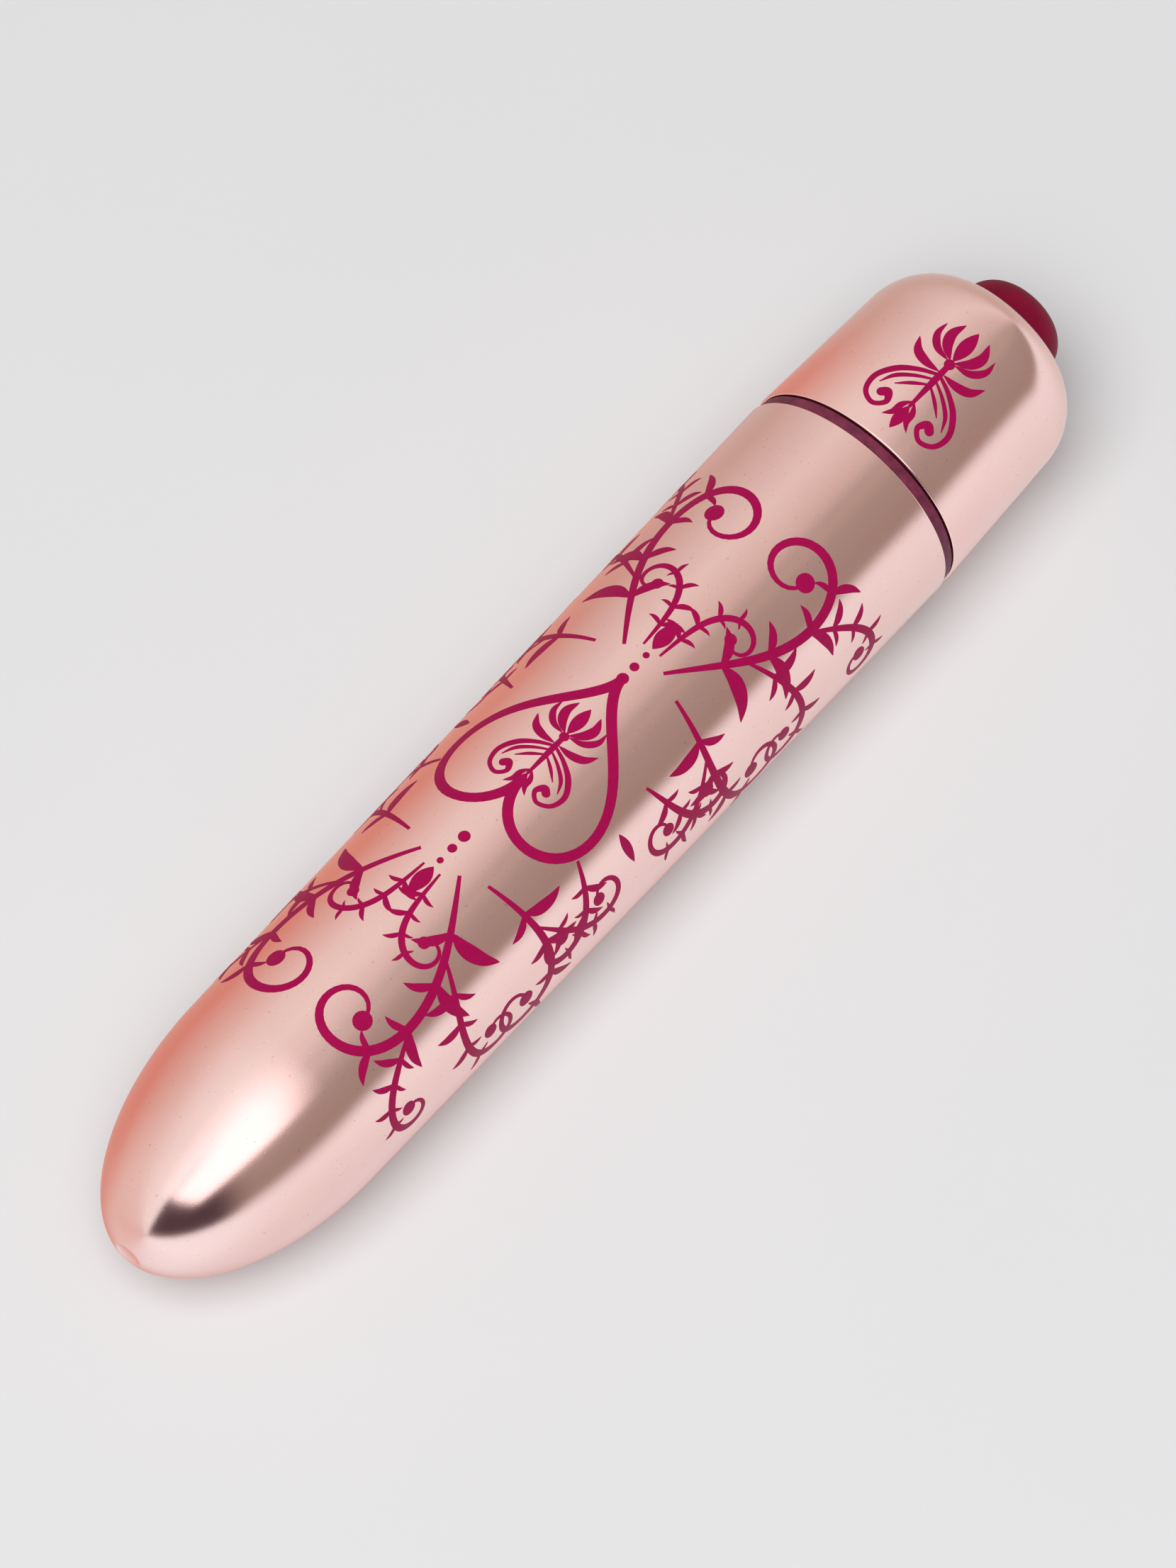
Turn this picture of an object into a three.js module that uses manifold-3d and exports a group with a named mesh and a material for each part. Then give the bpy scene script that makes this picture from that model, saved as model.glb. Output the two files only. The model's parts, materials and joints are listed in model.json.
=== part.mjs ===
// Bullet massager: a slim battery-driven vibrating massager with a screw-off battery cap.
// Millimetres, +Z up. The long axis runs along +X with the push button at the +X end.
// The origin is under the middle of the bounding box, on the surface that the object lies on.

import * as THREE from 'three';
import { mergeVertices } from 'three/addons/utils/BufferGeometryUtils.js';
import Module from 'manifold-3d';

const wasm = await Module();
wasm.setup();

// ---------- driving dimensions ----------
// Every station below is measured along the axis from the body's rim: minus to the nose, plus to the cap.
const rimRadius = 11.25;         // body radius at its open rim, the widest place
const shoulderRadius = 10.45;    // body radius where the nose begins
const shoulderY = -74.6;
const noseTipY = -94.5;
const noseFlatRadius = 1.4;      // moulding gate spot at the tip
const bodyWall = 1.2;
const capRimY = 1.2;
const capRimRadius = 11.2;
const capShoulderY = 15.4;
const capShoulderRadius = 10.65;
const capEndY = 21.4;
const capFlatRadius = 5.7;
const capWall = 0.9;
const buttonRadius = 5.1;
const buttonTopY = 25.5;
const buttonHoleRadius = 5.45;
const buttonFillet = 3;
const buttonTravel = 0.8;

const seat = 0.05;               // between pieces glued or resting on each other
const clearance = 0.3;           // between pieces that move past each other

const cellRadius = 5.25;         // AAA cell
const cellLength = 44.5;
const cellEndY = 8;
const threadLead = 6;            // two starts, 3 mm pitch
const threadPitch = threadLead / 2;
const neckRootRadius = 8.1;
const neckCrestRadius = 8.8;
const neckBoreRadius = 6.9;
const neckEndY = 9;
const ridgeStartY = 2.4;
const ridgeTurns = 0.93;
const ridgeBury = 0.3;           // how far a ridge's foot sinks into its wall
const linerRootRadius = neckCrestRadius + clearance;
const linerCrestRadius = neckRootRadius + clearance;

const motorRadius = 7;
const motorFrontY = -72;
const motorRearY = -52;
const shaftRadius = 0.75;

const noseLength = (shoulderY - noseTipY) / Math.sqrt(1 - (noseFlatRadius / shoulderRadius) ** 2);

const shellSides = 24;           // a flat side faces down, so the object lies still
const fineSides = 32;
const smallSides = 16;

// ---------- materials ----------
function material(color, roughness, metalness) {
  return new THREE.MeshStandardMaterial({ color, roughness, metalness });
}

const roseGold = material(0xd9aaa0, 0.35, 0.75);
const crimson = material(0x7d0f2d, 0.6, 0);
const burgundy = material(0x5a1c2c, 0.7, 0);
const blackPlastic = material(0x1c1c1e, 0.55, 0);
const whitePlastic = material(0xe8e4de, 0.5, 0);
const greyRubber = material(0x55555a, 0.9, 0);
const steel = material(0xb9bcc0, 0.3, 1);
const ferrite = material(0x3a3a3c, 0.8, 0.2);
const bronze = material(0x9c7440, 0.4, 1);
const brass = material(0xc9a24d, 0.35, 1);
const copper = material(0xb5652f, 0.35, 1);
const carbon = material(0x2a2a2a, 0.8, 0);
const tungsten = material(0x85878c, 0.45, 1);
const circuitGreen = material(0x1f5a38, 0.5, 0);
const chipBlack = material(0x202022, 0.6, 0);
const ceramicTan = material(0xb99a72, 0.6, 0);
const cellGreen = material(0x2f6f5a, 0.4, 0.2);
const redWire = material(0xb3202a, 0.5, 0);
const blackWire = material(0x202020, 0.5, 0);

// ---------- geometry helpers ----------
// Keeps positions only, shares them, drops slivers on the axis and turns every face outwards.
function closed(geometry) {
  const bare = geometry.clone();
  bare.deleteAttribute('normal');
  bare.deleteAttribute('uv');
  const merged = mergeVertices(bare, 1e-5);
  const index = merged.index.array;
  const points = merged.attributes.position;
  const a = new THREE.Vector3();
  const b = new THREE.Vector3();
  const c = new THREE.Vector3();
  const kept = [];
  let volume = 0;
  for (let i = 0; i < index.length; i += 3) {
    const [p, q, r] = [index[i], index[i + 1], index[i + 2]];
    if (p !== q && q !== r && r !== p) {
      a.fromBufferAttribute(points, p);
      b.fromBufferAttribute(points, q);
      c.fromBufferAttribute(points, r);
      volume += a.dot(b.cross(c));
      kept.push(p, q, r);
    }
  }
  if (volume < 0) {
    kept.reverse();
  }
  merged.setIndex(kept);
  return merged;
}

function toManifold(geometry) {
  const { attributes, index } = closed(geometry);
  const vertProperties = new Float32Array(attributes.position.array);
  const triVerts = new Uint32Array(index.array);
  return new wasm.Manifold(new wasm.Mesh({ numProp: 3, vertProperties, triVerts }));
}

function fromManifold(solid) {
  const mesh = solid.getMesh();
  const geometry = new THREE.BufferGeometry();
  geometry.setAttribute('position', new THREE.BufferAttribute(new Float32Array(mesh.vertProperties), 3));
  geometry.setIndex(Array.from(mesh.triVerts));
  return geometry;
}

function join(first, ...others) {
  return fromManifold(others.reduce((sum, other) => sum.add(toManifold(other)), toManifold(first)));
}

// Turns an outline of [radius, station] points about the axis.
function turned(outline, sides = fineSides, phase = 0) {
  const points = outline.map(([radius, y]) => new THREE.Vector2(radius, y));
  return closed(new THREE.LatheGeometry(points, sides, phase, 2 * Math.PI));
}

// As turned, with its flat sides, not its corners, on the stated radii and one flat side facing down.
function turnedShell(outline) {
  const widen = 1 / Math.cos(Math.PI / shellSides);
  const wide = outline.map(([radius, y]) => [radius * widen, y]);
  return turned(wide, shellSides, Math.PI / shellSides);
}

function tube(innerRadius, outerRadius, startY, endY, sides = fineSides) {
  return turned([
    [innerRadius, startY], [outerRadius, startY], [outerRadius, endY],
    [innerRadius, endY], [innerRadius, startY],
  ], sides);
}

function rod(radius, startY, endY, sides = fineSides) {
  return turned([[0, startY], [radius, startY], [radius, endY], [0, endY]], sides);
}

// Points on a quarter ellipse from the side (full radius) round to the end (full reach).
function quarterEllipse(centreRadius, centreY, radialSemi, axialSemi, steps) {
  return Array.from({ length: steps + 1 }, (_, i) => {
    const angle = (Math.PI / 2) * (i / steps);
    return [centreRadius + radialSemi * Math.cos(angle), centreY + axialSemi * Math.sin(angle)];
  });
}

// Extrudes a flat outline, drawn in local X and Z, along the axis between two stations.
function prism(shape, startY, endY, curveSegments = 8) {
  const depth = endY - startY;
  const geometry = new THREE.ExtrudeGeometry(shape, { depth, bevelEnabled: false, curveSegments });
  geometry.rotateX(Math.PI / 2);
  geometry.translate(0, endY, 0);
  return geometry;
}

function block(width, height, depth, x, y, z) {
  return new THREE.BoxGeometry(width, height, depth).translate(x, y, z);
}

function rectangle(width, height, x = 0, y = 0) {
  const shape = new THREE.Shape();
  shape.moveTo(x - width / 2, y - height / 2);
  shape.lineTo(x + width / 2, y - height / 2);
  shape.lineTo(x + width / 2, y + height / 2);
  shape.lineTo(x - width / 2, y + height / 2);
  shape.closePath();
  return shape;
}

function disc(radius) {
  return new THREE.Shape().absarc(0, 0, radius, 0, 2 * Math.PI);
}

// A round wire along a smooth curve through hand-picked points.
function wire(points, radius, steps, sides = 8) {
  const path = new THREE.CatmullRomCurve3(points.map((point) => new THREE.Vector3(...point)));
  const section = new THREE.Shape();
  for (let i = 0; i < sides; i += 1) {
    const angle = (2 * Math.PI * i) / sides;
    const [x, y] = [radius * Math.cos(angle), radius * Math.sin(angle)];
    if (i === 0) {
      section.moveTo(x, y);
    } else {
      section.lineTo(x, y);
    }
  }
  section.closePath();
  return new THREE.ExtrudeGeometry(section, { steps, extrudePath: path, bevelEnabled: false });
}

// One start of a right-hand screw thread: a tapered ridge wound round the axis.
function threadRidge(baseRadius, crestRadius, startAngle, startY, turns) {
  const baseHalf = 0.65;
  const crestHalf = 0.3;
  const steps = Math.round(turns * fineSides);
  const runIn = 3;                 // steps over which the ridge rises at each end
  const lowestShare = 0.55;        // of its full height, at the ends
  const positions = [];
  for (let i = 0; i <= steps; i += 1) {
    const turn = (turns * i) / steps;
    const angle = startAngle + 2 * Math.PI * turn;
    const y = startY + threadLead * turn;
    const height = Math.min(1, (0.5 + Math.min(i, steps - i)) / runIn);
    const share = lowestShare + (1 - lowestShare) * height;
    const crest = baseRadius + (crestRadius - baseRadius) * share;
    const section = [
      [baseRadius, -baseHalf], [crest, -crestHalf], [crest, crestHalf], [baseRadius, baseHalf],
    ];
    for (const [radius, offset] of section) {
      positions.push(radius * Math.sin(angle), y + offset, radius * Math.cos(angle));
    }
  }
  const index = [0, 1, 2, 0, 2, 3];
  for (let i = 0; i < steps; i += 1) {
    for (let corner = 0; corner < 4; corner += 1) {
      const a = 4 * i + corner;
      const b = 4 * i + ((corner + 1) % 4);
      index.push(a, a + 4, b, b, a + 4, b + 4);
    }
  }
  const last = 4 * steps;
  index.push(last, last + 2, last + 1, last, last + 3, last + 2);
  const geometry = new THREE.BufferGeometry();
  geometry.setAttribute('position', new THREE.Float32BufferAttribute(positions, 3));
  geometry.setIndex(index);
  return geometry;
}

// ---------- the assembly ----------
const frame = new THREE.Group();
frame.rotation.z = -Math.PI / 2;
frame.position.set(-(buttonTopY + noseTipY) / 2, 0, rimRadius);

function add(name, geometry, finish) {
  const mesh = new THREE.Mesh(closed(geometry), finish);
  mesh.name = name;
  frame.add(mesh);
}

// ---------- body ----------
function noseOutline(radius, length, flatRadius, steps) {
  const lastAngle = Math.acos(flatRadius / radius);
  return Array.from({ length: steps + 1 }, (_, i) => {
    const angle = lastAngle * (1 - i / steps);
    return [radius * Math.cos(angle), shoulderY - length * Math.sin(angle)];
  });
}

function bodyShell() {
  const innerFlatRadius = 0.9;
  const outer = noseOutline(shoulderRadius, noseLength, noseFlatRadius, 9);
  const inner = noseOutline(shoulderRadius - bodyWall, noseLength - bodyWall, innerFlatRadius, 7);
  const tipOuter = [0, outer[0][1]];
  const tipInner = [0, inner[0][1]];
  return turnedShell([
    tipOuter, ...outer, [rimRadius, 0], [rimRadius - bodyWall, 0], ...inner.reverse(), tipInner,
  ]);
}

// The male half of the screw joint, glued into the body's mouth.
function threadCollar() {
  const gluedRadius = 9.75;
  const gluedY = -12;
  const leadIn = 0.4;
  const sleeve = turned([
    [neckBoreRadius, gluedY], [gluedRadius, gluedY], [gluedRadius, -seat], [neckRootRadius, -seat],
    [neckRootRadius, neckEndY - leadIn], [neckRootRadius - leadIn, neckEndY], [neckBoreRadius, neckEndY],
    [neckBoreRadius, gluedY],
  ]);
  const ridges = [0, Math.PI].map((start) => threadRidge(
    neckRootRadius - ridgeBury, neckCrestRadius, start, ridgeStartY, ridgeTurns,
  ));
  return join(sleeve, ...ridges);
}

function sealRing() {
  const innerRadius = neckRootRadius + 0.35;
  const outerRadius = 11.05;
  const round = 0.3;
  return turned([
    [innerRadius, seat], [outerRadius - round, seat], [outerRadius, seat + round],
    [outerRadius, capRimY - seat - round], [outerRadius - round, capRimY - seat],
    [innerRadius, capRimY - seat], [innerRadius, seat],
  ], 48);
}

const thirds = [0, 1, 2].map((k) => (2 * Math.PI * k) / 3);
const tubeRadius = 6.15;
const tubeBore = cellRadius + 0.4;
const tubeEndY = -38.4;

// A cup for the cell, with a hole for the lead and three fins that centre it in the body.
function batteryTube() {
  const leadHole = 1.5;
  const floorY = tubeEndY + 0.9;
  const mouthY = neckEndY - 0.2;
  const sleeve = turned([
    [leadHole, tubeEndY], [tubeRadius, tubeEndY], [tubeRadius, mouthY], [tubeBore, mouthY],
    [tubeBore, floorY], [leadHole, floorY], [leadHole, tubeEndY],
  ]);
  const [finHeight, finLength, finThickness] = [3.4, 25, 1.2];
  const finMiddle = 7.6;
  const fins = thirds.map((angle) => {
    const fin = block(finHeight, finLength, finThickness, finMiddle, tubeEndY + finLength / 2, 0);
    return fin.rotateY(angle - Math.PI / 6);
  });
  return join(sleeve, ...fins);
}

const plateRadius = 5;
const plateThickness = 0.45;
const contactPlateY = cellEndY - cellLength - 0.75;
const stripZ = 6.42;
const stripStart = -45;

// A ring on the neck's end and a strip that runs back outside the battery tube.
function returnContact() {
  const ringRadius = 8;
  const ringEnd = neckEndY + 0.45;
  const [stripWidth, stripThickness] = [2.4, 0.35];
  const [tabLength, tabHeight, tabZ] = [0.4, 1.2, 6.85];
  const ring = tube(neckBoreRadius + seat, ringRadius, neckEndY + seat, ringEnd);
  const [stripLength, stripY] = [ringEnd - stripStart, (stripStart + ringEnd) / 2];
  const strip = block(stripWidth, stripLength, stripThickness, 0, stripY, stripZ);
  const tab = block(stripWidth, tabLength, tabHeight, 0, ringEnd - tabLength / 2, tabZ);
  return join(ring, strip, tab);
}

add('body_shell', bodyShell(), roseGold);
add('thread_collar', threadCollar(), blackPlastic);
add('seal_ring', sealRing(), burgundy);
add('battery_tube', batteryTube(), whitePlastic);
add('nose_contact_plate', rod(plateRadius, contactPlateY, contactPlateY + plateThickness), brass);
add('return_contact', returnContact(), brass);

// ---------- motor, fixed half ----------
function arcPiece(innerRadius, outerRadius, middleAngle, span, startY, endY) {
  const shape = new THREE.Shape();
  shape.absarc(0, 0, outerRadius, middleAngle - span / 2, middleAngle + span / 2, false);
  shape.absarc(0, 0, innerRadius, middleAngle + span / 2, middleAngle - span / 2, true);
  shape.closePath();
  return prism(shape, startY, endY, 10);
}

function motorCan() {
  const wall = 0.6;
  const bushHole = 2.1;
  return turned([
    [bushHole, motorFrontY], [motorRadius, motorFrontY], [motorRadius, motorRearY - seat],
    [motorRadius - wall, motorRearY - seat], [motorRadius - wall, motorFrontY + wall],
    [bushHole, motorFrontY + wall], [bushHole, motorFrontY],
  ]);
}

const terminalOffset = 4.2;

function motorEndBell() {
  const bushHole = 1.6;
  const [slotWidth, slotHeight] = [2.2, 0.8];
  const thickness = 2.8;
  const shape = disc(motorRadius);
  shape.holes.push(disc(bushHole));
  shape.holes.push(rectangle(slotWidth, slotHeight, 0, terminalOffset));
  shape.holes.push(rectangle(slotWidth, slotHeight, 0, -terminalOffset));
  return prism(shape, motorRearY, motorRearY + thickness, 16);
}

function magnet(angle) {
  const [innerRadius, outerRadius] = [5.25, 6.2];
  const span = 2.1;
  return arcPiece(innerRadius, outerRadius, angle, span, motorFrontY + 1.5, motorRearY - 4);
}

function brush(side) {
  const [width, length, height] = [1, 1.4, 1.6];
  return block(width, length, height, 0, motorRearY - 2.3, side * 2.7);
}

function terminal(side) {
  const [width, length, thickness] = [1.8, 8.4, 0.4];
  return block(width, length, thickness, 0, motorRearY + 1.4, side * terminalOffset);
}

// A sleeve bearing with the shaft's running fit.
function bush(outerRadius, startY, endY) {
  return tube(shaftRadius + 0.2, outerRadius, startY, endY, smallSides);
}

function lead(points) {
  const radius = 0.4;
  return wire(points, radius, 24);
}

add('motor_sleeve', tube(motorRadius + clearance, 9, motorFrontY - 1, motorRearY + 4), greyRubber);
add('motor_can', motorCan(), steel);
add('motor_end_bell', motorEndBell(), blackPlastic);
add('front_bush', bush(1.9, motorFrontY - 1.4, motorFrontY + 1.1), bronze);
add('rear_bush', bush(1.4, motorRearY, motorRearY + 2.4), bronze);
for (const [name, side] of [['upper', 1], ['lower', -1]]) {
  add(`magnet_${name}`, magnet((side * Math.PI) / 2), ferrite);
  add(`brush_${name}`, brush(side), carbon);
  add(`terminal_${name}`, terminal(side), brass);
}
add('positive_lead', lead([
  [0, contactPlateY - 0.1, 0], [0, -40.5, 0.2], [0.4, -43, 1.6], [0.3, -45.2, 3.6], [0, -46, 4.95],
  [0, -47.6, 5.3],
]), redWire);
add('return_lead', lead([
  [0, stripStart - 0.5, stripZ], [-1.6, -46.6, 6.3], [-4.8, -47.2, 3], [-5.4, -47.4, -0.4], [-3.6, -47.4, -4],
  [-0.6, -47.5, -5.2],
]), blackWire);

// ---------- motor, turning half ----------
const coreLength = 9;
const coreStart = motorFrontY + 5;
const coreEnd = coreStart + coreLength;
const coreMiddle = (coreStart + coreEnd) / 2;
const shaftHole = shaftRadius + 0.1;
const weightStart = -85;
const weightEnd = -77;

// A three-pole lamination stack: hub, arms and curved shoes.
function armatureCore() {
  const hubRadius = 2;
  const [armReach, armWidth, armMiddle] = [2.6, 1.6, 3];
  const [shoeInner, shoeOuter, shoeSpan] = [3.9, 4.8, 1.5];
  const hub = tube(shaftHole, hubRadius, coreStart, coreEnd, smallSides);
  const arms = thirds.map((angle) => {
    const arm = block(armReach, coreLength, armWidth, armMiddle, coreMiddle, 0);
    return arm.rotateY(angle);
  });
  const shoes = thirds.map((angle) => arcPiece(shoeInner, shoeOuter, angle, shoeSpan, coreStart, coreEnd));
  return join(hub, ...arms, ...shoes);
}

// A flat coil round one arm.
function winding(angle) {
  const [width, length, depth] = [3.8, 11.2, 1.3];
  const innerFace = 2.05;
  const shape = rectangle(width, length);
  shape.holes.push(rectangle(1.8, 9.3));
  const coil = new THREE.ExtrudeGeometry(shape, { depth, bevelEnabled: false });
  coil.rotateY(Math.PI / 2);
  coil.translate(innerFace, coreMiddle, 0);
  return coil.rotateY(angle);
}

// Half a disc on a hub: its weight off the axis makes the vibration.
function eccentricWeight() {
  const [hubRadius, discRadius] = [2.2, 6.2];
  const shape = new THREE.Shape();
  shape.absarc(0, 0, discRadius, Math.PI, 2 * Math.PI, false);
  shape.lineTo(hubRadius, 0);
  shape.absarc(0, 0, hubRadius, 0, Math.PI, false);
  shape.closePath();
  shape.holes.push(disc(shaftHole));
  return prism(shape, weightStart, weightEnd, 12);
}

add('motor_shaft', rod(shaftRadius, weightStart - 2, motorRearY + 2.2, smallSides), steel);
add('armature_core', armatureCore(), steel);
thirds.forEach((angle, k) => add(`winding_${k + 1}`, winding(angle), copper));
add('commutator', tube(shaftHole, 1.5, motorRearY - 4, motorRearY - 0.8, smallSides), copper);
add('eccentric_weight', eccentricWeight(), tungsten);

// ---------- battery ----------
const cellStart = cellEndY - cellLength;
const nubHeight = 1.2;
const jacketThickness = 0.2;

function cellCan() {
  const round = 0.4;
  const shoulder = cellStart + nubHeight;
  const radius = cellRadius - jacketThickness - seat;
  return turned([
    [0, shoulder], [radius - round, shoulder], [radius, shoulder + round], [radius, cellEndY - round],
    [radius - round, cellEndY], [0, cellEndY],
  ]);
}

function cellJacket() {
  return tube(cellRadius - jacketThickness, cellRadius, cellStart + nubHeight + 0.1, cellEndY - 0.4);
}

function cellInsulator() {
  return tube(2.1, 4.4, cellStart + nubHeight - 0.3, cellStart + nubHeight - seat);
}

add('cell_can', cellCan(), steel);
add('cell_jacket', cellJacket(), cellGreen);
add('cell_insulator', cellInsulator(), whitePlastic);
add('cell_positive_nub', rod(1.9, cellStart, cellStart + nubHeight - seat, 24), steel);

// ---------- cap ----------
function capShell() {
  const across = capShoulderRadius - capFlatRadius;
  const along = capEndY - capShoulderY;
  const outerRound = quarterEllipse(capFlatRadius, capShoulderY, across, along, 6);
  const innerRound = quarterEllipse(capFlatRadius, capShoulderY, across - capWall, along - capWall, 5);
  innerRound.reverse();
  return turnedShell([
    [capRimRadius - capWall, capRimY], [capRimRadius, capRimY], ...outerRound,
    [buttonHoleRadius, capEndY], [buttonHoleRadius, capEndY - capWall], ...innerRound,
    [capRimRadius - capWall, capRimY],
  ]);
}

const shelfY = 10.3;
const boardY = shelfY + 1.35;
const boardThickness = 1;
const boardTopY = boardY + boardThickness;

// The female half of the screw joint, with a shelf that the circuit board sits on.
function capLiner() {
  const start = capRimY + 0.4;
  const end = 16.4;
  const [mouthRadius, endRadius] = [10.1, 9.5];
  const [boardRadius, shelfRadius] = [8.75, 7.9];
  const sleeve = turned([
    [linerRootRadius, start], [mouthRadius, start], [endRadius, end], [boardRadius, end],
    [boardRadius, boardY - seat], [shelfRadius, boardY - seat], [shelfRadius, shelfY],
    [linerRootRadius, shelfY], [linerRootRadius, start],
  ]);
  const lagTurns = 0.15;
  const lagAngle = lagTurns * 2 * Math.PI;
  const startY = ridgeStartY + threadPitch / 2 - lagTurns * threadLead;
  const ridges = [0, Math.PI].map((angle) => threadRidge(
    linerRootRadius + ridgeBury, linerCrestRadius, angle - lagAngle, startY, ridgeTurns - 0.01,
  ));
  return join(sleeve, ...ridges);
}

function circuitBoard() {
  const boardDiscRadius = 8.5;
  const [holeZ, holeRadius] = [6.9, 0.5];
  const shape = disc(boardDiscRadius);
  shape.holes.push(new THREE.Path().absarc(0, holeZ, holeRadius, 0, 2 * Math.PI));
  return prism(shape, boardY, boardTopY, 12);
}

// A conical spring that presses on the cell's flat end.
function capSpring() {
  const turns = 3.2;
  const count = 30;
  const wireRadius = 0.25;
  const smallRadius = 2.2;
  const largeRadius = 4.4;
  const start = cellEndY + clearance + wireRadius;
  const end = boardY - 0.4;
  const points = Array.from({ length: count + 1 }, (_, i) => {
    const share = i / count;
    const radius = smallRadius + (largeRadius - smallRadius) * share;
    const angle = 2 * Math.PI * turns * share;
    return [radius * Math.cos(angle), start + (end - start) * share, radius * Math.sin(angle)];
  });
  return wire(points, wireRadius, 72, 6);
}

function switchBody() {
  const side = 6;
  const plungerHole = 1.9;
  const shape = rectangle(side, side);
  shape.holes.push(disc(plungerHole));
  return prism(shape, boardTopY + seat, boardTopY + 3);
}

// A flat chip with legs down both long sides.
function chip(width, length, height, legsPerSide, x, z) {
  const bottom = boardTopY + 0.2;
  const [legOverhang, legHeight, legWidth] = [0.7, 0.4, 0.45];
  const body = block(width, height, length, x, bottom + height / 2, z);
  const pitch = length / legsPerSide;
  const legs = [];
  for (let k = 0; k < legsPerSide; k += 1) {
    const legZ = z - length / 2 + pitch * (k + 0.5);
    const legY = boardTopY + seat + legHeight / 2;
    legs.push(block(width + 2 * legOverhang, legHeight, legWidth, x, legY, legZ));
  }
  return join(body, ...legs);
}

// An open spring ring that holds the board on its shelf.
function retainingRing() {
  const [innerRadius, outerRadius] = [7.7, 8.6];
  const [middleAngle, span] = [0.6, 5.9];
  return arcPiece(innerRadius, outerRadius, middleAngle, span, boardTopY + 0.1, boardTopY + 0.7);
}

// A two-ended surface-mounted piece, soldered down on the board.
function chipPiece(width, height, length, x, z) {
  return block(width, height, length, x, boardTopY + 0.07 + height / 2, z);
}

const sealStart = 18.3;

add('cap_shell', capShell(), roseGold);
add('cap_liner', capLiner(), blackPlastic);
add('circuit_board', circuitBoard(), circuitGreen);
add('cap_spring', capSpring(), steel);
add('cap_contact_ring', tube(neckBoreRadius + 0.1, 7.7, neckEndY + 0.75, boardY - seat), brass);
add('board_retaining_ring', retainingRing(), steel);
add('switch_body', switchBody(), chipBlack);
add('controller_chip', chip(2, 4.2, 1.3, 4, 5.4, 0), chipBlack);
add('drive_transistor', chip(1.2, 2.4, 1, 2, -5.2, 1.6), chipBlack);
add('resistor_1', chipPiece(1.2, 0.55, 2, -4.9, -1.6), ceramicTan);
add('resistor_2', chipPiece(2, 0.55, 1.2, 1.6, -5.4), ceramicTan);
add('capacitor', chipPiece(2.4, 1.3, 1.5, -1.8, -5.2), ceramicTan);
add('button_seal', tube(5.5, 6.6, sealStart, capEndY - capWall - clearance, 48), greyRubber);

// ---------- button ----------
const buttonBottomY = 16.9;

function pushButton() {
  const flangeRadius = 7.2;
  const flangeTopY = buttonBottomY + 1;
  const [crownRadius, crownY] = [buttonRadius - buttonFillet, buttonTopY - buttonFillet];
  const crown = quarterEllipse(crownRadius, crownY, buttonFillet, buttonFillet, 7);
  return turned([
    [0, buttonBottomY], [flangeRadius, buttonBottomY], [flangeRadius, flangeTopY],
    [buttonRadius, flangeTopY], ...crown, [0, buttonTopY],
  ], 48);
}

add('push_button', pushButton(), crimson);
add('switch_plunger', rod(1.6, boardTopY + 0.4 + buttonTravel, buttonBottomY - seat, 24), whitePlastic);

const group = new THREE.Group();
group.add(frame);

export default group;
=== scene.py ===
"""Looks of the bullet massager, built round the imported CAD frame. Metres, +Z up, long axis along +X."""
import json
import math

import bmesh
import bpy
from mathutils import Matrix, Vector
from mathutils.geometry import delaunay_2d_cdt


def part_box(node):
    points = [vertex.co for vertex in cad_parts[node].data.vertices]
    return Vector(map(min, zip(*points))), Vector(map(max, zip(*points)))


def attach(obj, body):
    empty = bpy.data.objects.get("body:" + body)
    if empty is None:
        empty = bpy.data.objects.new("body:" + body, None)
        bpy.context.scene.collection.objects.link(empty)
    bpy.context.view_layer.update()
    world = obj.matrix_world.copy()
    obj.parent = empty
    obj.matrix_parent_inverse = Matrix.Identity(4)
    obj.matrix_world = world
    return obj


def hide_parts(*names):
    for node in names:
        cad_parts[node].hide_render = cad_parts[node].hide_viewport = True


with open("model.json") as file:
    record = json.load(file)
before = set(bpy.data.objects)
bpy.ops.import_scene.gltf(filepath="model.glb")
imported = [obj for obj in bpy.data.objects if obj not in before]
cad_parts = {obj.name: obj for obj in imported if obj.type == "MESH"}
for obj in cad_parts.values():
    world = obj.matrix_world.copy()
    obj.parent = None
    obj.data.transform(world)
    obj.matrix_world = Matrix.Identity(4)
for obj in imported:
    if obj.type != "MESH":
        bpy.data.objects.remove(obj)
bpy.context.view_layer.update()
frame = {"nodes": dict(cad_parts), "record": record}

MM = 0.001

# ---------- driving dimensions, in millimetres, stations measured from the body's rim ----------
shell_low, shell_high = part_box("body_shell")
SEAM_X = shell_high[0] / MM
AXIS_Z = (shell_low[2] + shell_high[2]) / 2 / MM
RIM_RADIUS = 11.25
SHOULDER_RADIUS = 10.45
SHOULDER = -74.6
NOSE_TIP = shell_low[0] / MM - SEAM_X
NOSE_FLAT = 1.4
BODY_WALL = 1.2
CAP_RIM = 1.2
CAP_RIM_RADIUS = 11.2
CAP_SHOULDER = 15.4
CAP_SHOULDER_RADIUS = 10.65
CAP_END = 21.4
CAP_FLAT_RADIUS = 5.7
CAP_WALL = 0.9
BUTTON_RADIUS = 5.1
BUTTON_TOP = 25.5
BUTTON_HOLE = 5.45
BUTTON_FILLET = 3.0
THREAD_LEAD = 6.0
THREAD_START = 2.4
THREAD_TURNS = 0.93
NECK_ROOT = 8.1
NECK_CREST = 8.8
NECK_BORE = 6.9
LINER_ROOT = 9.1
LINER_CREST = 8.4

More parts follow.
